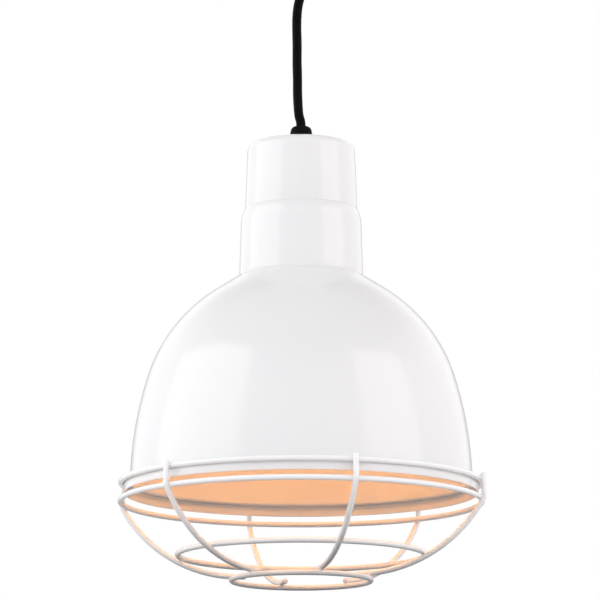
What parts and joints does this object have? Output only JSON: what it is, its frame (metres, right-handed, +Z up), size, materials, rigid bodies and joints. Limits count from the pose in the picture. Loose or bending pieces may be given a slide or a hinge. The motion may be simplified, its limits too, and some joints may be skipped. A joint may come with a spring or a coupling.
{
  "type": "pendant ceiling light",
  "caption": "Deep bell-shaped metal pendant shade with a stepped neck, a screw-in lamp and a wire guard, hung on a cord from a round ceiling canopy.",
  "frame": {"origin": "on the ceiling plane, at the middle of the mounting strap's slot pattern", "axes": "+Z up into the ceiling and along the cord; +X along the mounting strap; -Y is the front, from which the picture was taken"},
  "size_m": [0.2634, 0.2628, 0.4758],
  "materials": {
    "white_enamel": "gloss white paint",
    "guard_paint": "gloss white paint on steel wire",
    "canopy_paint": "gloss white paint",
    "zinc_steel": "zinc plated",
    "brass": "plain brass",
    "green_screw": "green passivated",
    "black_plastic": "black, half gloss",
    "seal_rubber": "matt black",
    "cord_jacket": "black jacket, slightly shiny",
    "live_core": "black insulation",
    "neutral_core": "white insulation",
    "earth_core": "green insulation",
    "connector_plastic": "orange",
    "porcelain": "white glazed porcelain",
    "lamp_glass": "frosted warm white",
    "stem_glass": "pressed glass",
    "filament": "phosphor-coated rods",
    "lamp_metal": "nickel-look",
    "lamp_insulator": "black glass"
  },
  "bodies": {
    "ceiling": {"canopy": "canopy_paint", "mounting_strap": "zinc_steel", "canopy_screws": "zinc_steel", "canopy_lock_nuts": "zinc_steel", "canopy_cap_nuts": "canopy_paint", "strap_earth_screw": "green_screw", "upper_grip_nut": "black_plastic", "upper_grip_washer": "brass", "upper_grip_locknut": "zinc_steel", "upper_grip_nipple": "zinc_steel", "cord_tail_upper": "cord_jacket", "upper_lead_live": "live_core", "upper_lead_neutral": "neutral_core", "upper_lead_earth": "earth_core", "wire_connectors": "connector_plastic"},
    "upper_seal": {"upper_grip_seal": "seal_rubber"},
    "cord_upper": {"cord_upper": "cord_jacket"},
    "cord_lower": {"cord_lower": "cord_jacket"},
    "lower_seal": {"lower_grip_seal": "seal_rubber"},
    "lamp_carrier": {"lamp_contact": "lamp_metal"},
    "head": {"cord_tail_lower": "cord_jacket", "flange_nuts": "zinc_steel", "flange_screws": "zinc_steel", "guard_ribs": "guard_paint", "guard_ring_end": "guard_paint", "guard_ring_middle": "guard_paint", "guard_ring_rim": "guard_paint", "guard_ring_skirt": "guard_paint", "lower_grip_locknut": "zinc_steel", "lower_grip_nipple": "zinc_steel", "lower_grip_nut": "black_plastic", "lower_grip_washer": "brass", "lower_lead_earth": "earth_core", "lower_lead_live": "live_core", "lower_lead_neutral": "neutral_core", "neck_cap": "white_enamel", "neck_collar": "white_enamel", "shade_bowl": "white_enamel", "socket_body": "porcelain", "socket_body_screws": "zinc_steel", "socket_cap": "black_plastic", "socket_contact": "brass", "socket_earth_screw": "green_screw", "socket_screw_shell": "brass", "socket_stirrup": "zinc_steel", "socket_terminal_plates": "brass", "socket_terminal_screws": "brass", "stirrup_washer": "zinc_steel"},
    "lamp": {"lamp_insulator": "lamp_insulator", "lamp_base_shell": "lamp_metal", "lamp_glass": "lamp_glass", "lamp_stem": "stem_glass", "lamp_filaments": "filament"}
  },
  "joints": [
    {"name": "upper_swing_x", "type": "hinge", "parent": "ceiling", "child": "upper_seal", "pos_m": [0, 0, -0.0346], "axis": [1, 0, 0], "range_deg": [-20, 20]},
    {"name": "upper_swing_y", "type": "hinge", "parent": "upper_seal", "child": "cord_upper", "pos_m": [0, 0, -0.0346], "axis": [0, 1, 0], "range_deg": [-20, 20]},
    {"name": "cord_twist", "type": "hinge", "parent": "cord_upper", "child": "cord_lower", "pos_m": [0, 0, -0.08975], "axis": [0, 0, 1], "range_deg": [-90, 90], "stiffness_Nm_per_rad": 0.01},
    {"name": "lower_tilt_x", "type": "hinge", "parent": "cord_lower", "child": "lower_seal", "pos_m": [0, 0, -0.1449], "axis": [1, 0, 0], "range_deg": [-15, 15]},
    {"name": "lower_tilt_y", "type": "hinge", "parent": "lower_seal", "child": "head", "pos_m": [0, 0, -0.1449], "axis": [0, 1, 0], "range_deg": [-15, 15]},
    {"name": "lamp_travel", "type": "slide", "parent": "head", "child": "lamp_carrier", "axis": [0, 0, 1], "range_m": [-0.024, 0]},
    {"name": "lamp_turn", "type": "hinge", "parent": "lamp_carrier", "child": "lamp", "pos_m": [0, 0, -0.212], "axis": [0, 0, 1], "range_deg": [-2381, 0]}
  ],
  "couplings": [
    {"joint": "lamp_turn", "follows": "lamp_travel", "rad_per_m": 1730.9}
  ]
}
